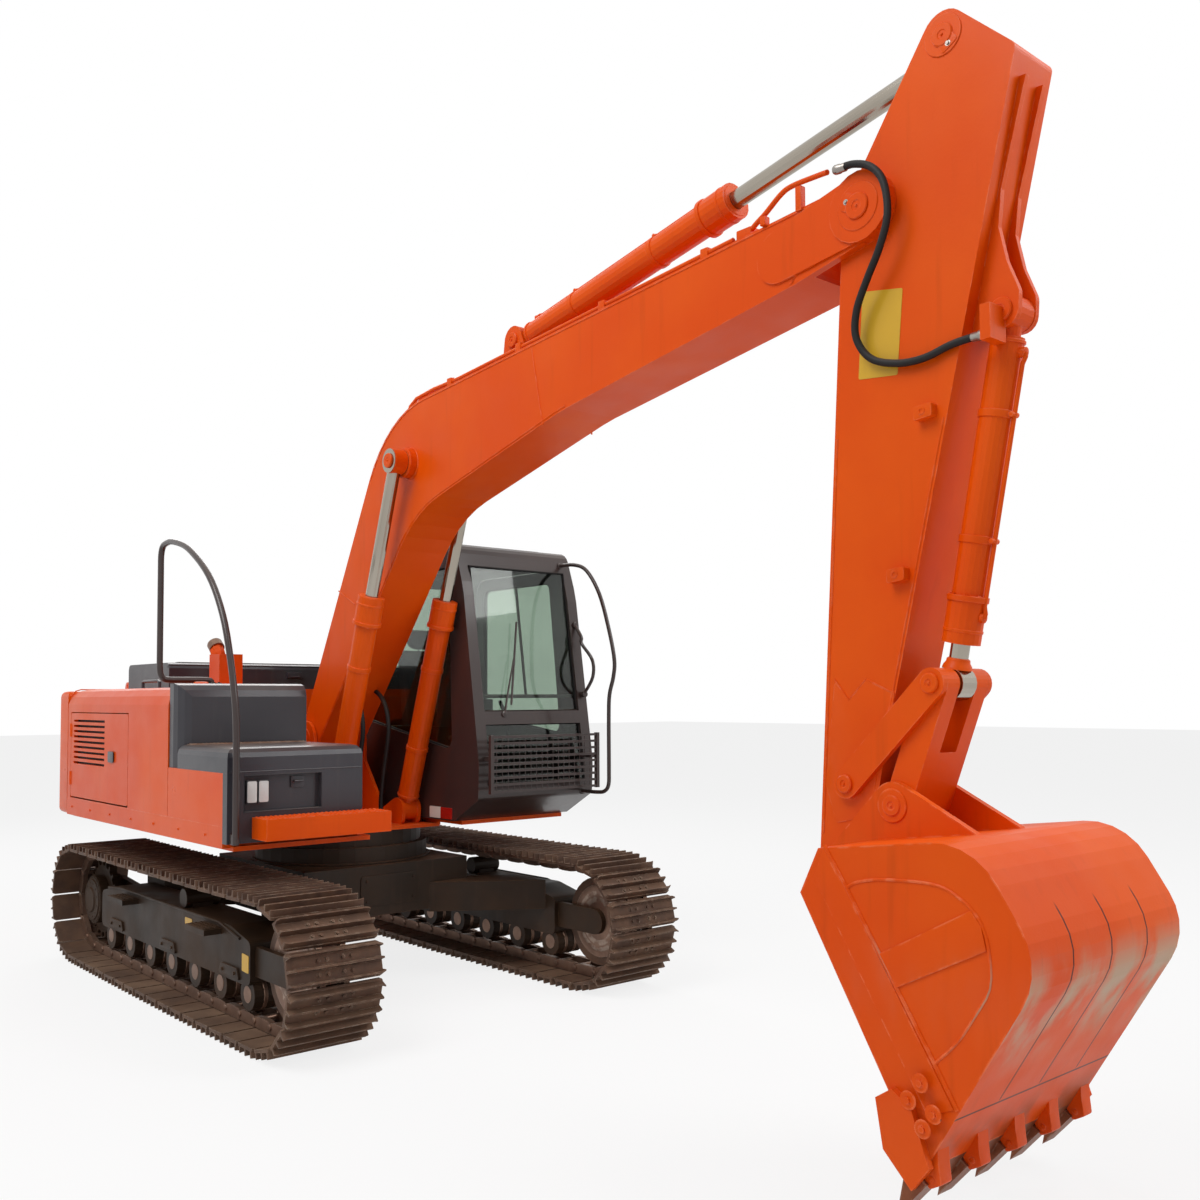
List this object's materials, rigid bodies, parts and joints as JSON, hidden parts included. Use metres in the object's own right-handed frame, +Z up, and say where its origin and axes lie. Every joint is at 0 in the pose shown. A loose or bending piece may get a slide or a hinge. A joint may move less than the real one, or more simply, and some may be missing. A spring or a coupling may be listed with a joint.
{
  "type": "crawler excavator",
  "caption": "Orange crawler excavator with a dark cab, steel tracks, one-piece boom, arm and toothed bucket.",
  "frame": {"origin": "on the ground under the middle of the machine's length, on its centre plane", "axes": "+X forward towards the boom's arm and bucket, +Y to the cab side, +Z up"},
  "size_m": [7.1814, 2.49, 4.1783],
  "materials": {
    "cab_paint": "satin",
    "chrome_rod": "polished",
    "cover_paint": "satin",
    "dark_frame_paint": "worn",
    "engine_iron": "dull",
    "glass": "clear",
    "hose_rubber": "matte",
    "orange_paint": "semi-gloss",
    "seat_cloth": "matte",
    "tooth_steel": "worn",
    "track_steel": "rusty"
  },
  "bodies": {
    "arm_beam": {"arm": "orange_paint", "arm_hose": "hose_rubber"},
    "arm_ram_cylinder": {"arm_ram_barrel": "orange_paint"},
    "arm_ram_piston_rod": {"arm_ram_rod": "chrome_rod"},
    "house": {"body_cover": "orange_paint", "boom_hose_left": "hose_rubber", "boom_hose_right": "hose_rubber", "cab_shell": "cab_paint", "counterweight": "orange_paint", "engine_block": "engine_iron", "exhaust": "orange_paint", "front_step": "orange_paint", "front_wall": "cover_paint", "fuel_tank": "orange_paint", "hand_rail": "cover_paint", "lower_windscreen": "glass", "main_frame": "orange_paint", "mirror_stay": "cab_paint", "operator_seat": "seat_cloth", "quarter_window": "glass", "rear_window": "glass", "right_window": "glass", "side_console": "seat_cloth", "skirt_left": "orange_paint", "skirt_right": "orange_paint", "toolbox_front": "cover_paint", "travel_levers": "seat_cloth", "window_guard": "cab_paint", "windscreen": "glass"},
    "boom_beam": {"boom": "orange_paint"},
    "boom_ram_barrels": {"boom_ram_barrel_left": "orange_paint", "boom_ram_barrel_right": "orange_paint"},
    "boom_ram_rods": {"boom_ram_rod_left": "chrome_rod", "boom_ram_rod_right": "chrome_rod"},
    "bucket_group": {"bucket": "orange_paint", "bucket_teeth": "tooth_steel", "side_cutter_left": "orange_paint", "side_cutter_right": "orange_paint"},
    "bucket_link_body": {"bucket_link": "orange_paint"},
    "bucket_ram_cylinder": {"bucket_ram_barrel": "orange_paint"},
    "bucket_ram_piston_rod": {"bucket_ram_rod": "chrome_rod"},
    "cab_door_leaf": {"cab_door": "cab_paint", "cab_door_glass": "glass"},
    "undercarriage": {"centre_frame": "dark_frame_paint", "idler_left": "track_steel", "idler_right": "track_steel", "slewing_ring": "dark_frame_paint", "sprocket_left": "dark_frame_paint", "sprocket_right": "dark_frame_paint", "track_frame_left": "dark_frame_paint", "track_frame_right": "dark_frame_paint", "track_left": "track_steel", "track_right": "track_steel"},
    "engine_hood_lid": {"engine_hood": "cover_paint"},
    "left_side_door_leaf": {"left_side_door": "orange_paint"},
    "right_side_door_leaf": {"right_side_door": "orange_paint"},
    "side_links": {"side_link_left": "orange_paint", "side_link_right": "orange_paint"},
    "toolbox_lid_leaf": {"toolbox_lid": "cover_paint"}
  },
  "joints": [
    {"name": "house_swing", "type": "hinge", "parent": "undercarriage", "child": "house", "pos_m": [-1.46065, 0, 0.93], "axis": [0, 0, 1], "continuous": true},
    {"name": "boom_lift", "type": "hinge", "parent": "house", "child": "boom_beam", "pos_m": [-1.61065, 0, 1.47], "axis": [0, -1, 0], "range_deg": [-69, 32], "deforming": ["boom_hose_left", "boom_hose_right"]},
    {"name": "boom_ram_swing", "type": "hinge", "parent": "house", "child": "boom_ram_barrels", "pos_m": [-1.10065, 0, 1.04], "axis": [0, -1, 0], "range_deg": [-68.81, 32.18]},
    {"name": "boom_ram_stroke", "type": "slide", "parent": "boom_ram_barrels", "child": "boom_ram_rods", "axis": [0.328, 0, 0.9447], "range_m": [-0.7185, 0.3343]},
    {"name": "arm_swing", "type": "hinge", "parent": "boom_beam", "child": "arm_beam", "pos_m": [2.77445, 0, 3.56535], "axis": [0, -1, 0], "range_deg": [-22, 92], "deforming": ["arm_hose"]},
    {"name": "arm_ram_swing", "type": "hinge", "parent": "boom_beam", "child": "arm_ram_cylinder", "pos_m": [0.48924, 0, 3.62015], "axis": [0, -1, 0], "range_deg": [-1.38, 4.18]},
    {"name": "arm_ram_stroke", "type": "slide", "parent": "arm_ram_cylinder", "child": "arm_ram_piston_rod", "axis": [0.9845, 0, 0.1756], "range_m": [-0.8289, 0.1997]},
    {"name": "bucket_curl", "type": "hinge", "parent": "arm_beam", "child": "bucket_group", "pos_m": [2.60963, 0, 1.05074], "axis": [0, -1, 0], "range_deg": [-165, 5]},
    {"name": "side_link_swing", "type": "hinge", "parent": "arm_beam", "child": "side_links", "pos_m": [2.66462, 0, 1.41181], "axis": [0, -1, 0], "range_deg": [-118.47, 4.08]},
    {"name": "bucket_link_swing", "type": "hinge", "parent": "bucket_group", "child": "bucket_link_body", "pos_m": [2.87464, 0, 1.34473], "axis": [0, -1, 0], "range_deg": [-4.4, 129.2]},
    {"name": "bucket_ram_swing", "type": "hinge", "parent": "arm_beam", "child": "bucket_ram_cylinder", "pos_m": [3.28743, 0, 3.06553], "axis": [0, -1, 0], "range_deg": [-0.6, 3.8]},
    {"name": "bucket_ram_stroke", "type": "slide", "parent": "bucket_ram_cylinder", "child": "bucket_ram_piston_rod", "axis": [-0.1913, 0, -0.9815], "range_m": [-0.0308, 0.9523]},
    {"name": "right_door_hinge", "type": "hinge", "parent": "house", "child": "right_side_door_leaf", "pos_m": [-2.91767, -1.235, 1.38], "axis": [0, 0, 1], "range_deg": [-110, 0]},
    {"name": "left_door_hinge", "type": "hinge", "parent": "house", "child": "left_side_door_leaf", "pos_m": [-2.91767, 1.235, 1.38], "axis": [0, 0, 1], "range_deg": [0, 110]},
    {"name": "engine_hood_hinge", "type": "hinge", "parent": "house", "child": "engine_hood_lid", "pos_m": [-2.89067, 0, 1.8103], "axis": [0, -1, 0], "range_deg": [0, 60]},
    {"name": "toolbox_lid_hinge", "type": "hinge", "parent": "house", "child": "toolbox_lid_leaf", "pos_m": [-1.04265, 0, 1.48], "axis": [0, -1, 0], "range_deg": [0, 70]},
    {"name": "cab_door_hinge", "type": "hinge", "parent": "house", "child": "cab_door_leaf", "pos_m": [-1.65765, 1.235, 1.85], "axis": [0, 0, 1], "range_deg": [0, 165]}
  ],
  "couplings": [
    {"joint": "boom_ram_swing", "follows": "boom_lift", "ratio": 0.99},
    {"joint": "boom_ram_stroke", "follows": "boom_lift", "m_per_rad": 0.595},
    {"joint": "arm_ram_swing", "follows": "arm_swing", "ratio": 0.04},
    {"joint": "arm_ram_stroke", "follows": "arm_swing", "m_per_rad": -0.515},
    {"joint": "side_link_swing", "follows": "bucket_curl", "ratio": 0.715},
    {"joint": "bucket_link_swing", "follows": "bucket_curl", "ratio": -0.78},
    {"joint": "bucket_ram_swing", "follows": "bucket_curl", "ratio": -0.02},
    {"joint": "bucket_ram_stroke", "follows": "bucket_curl", "m_per_rad": -0.33}
  ]
}
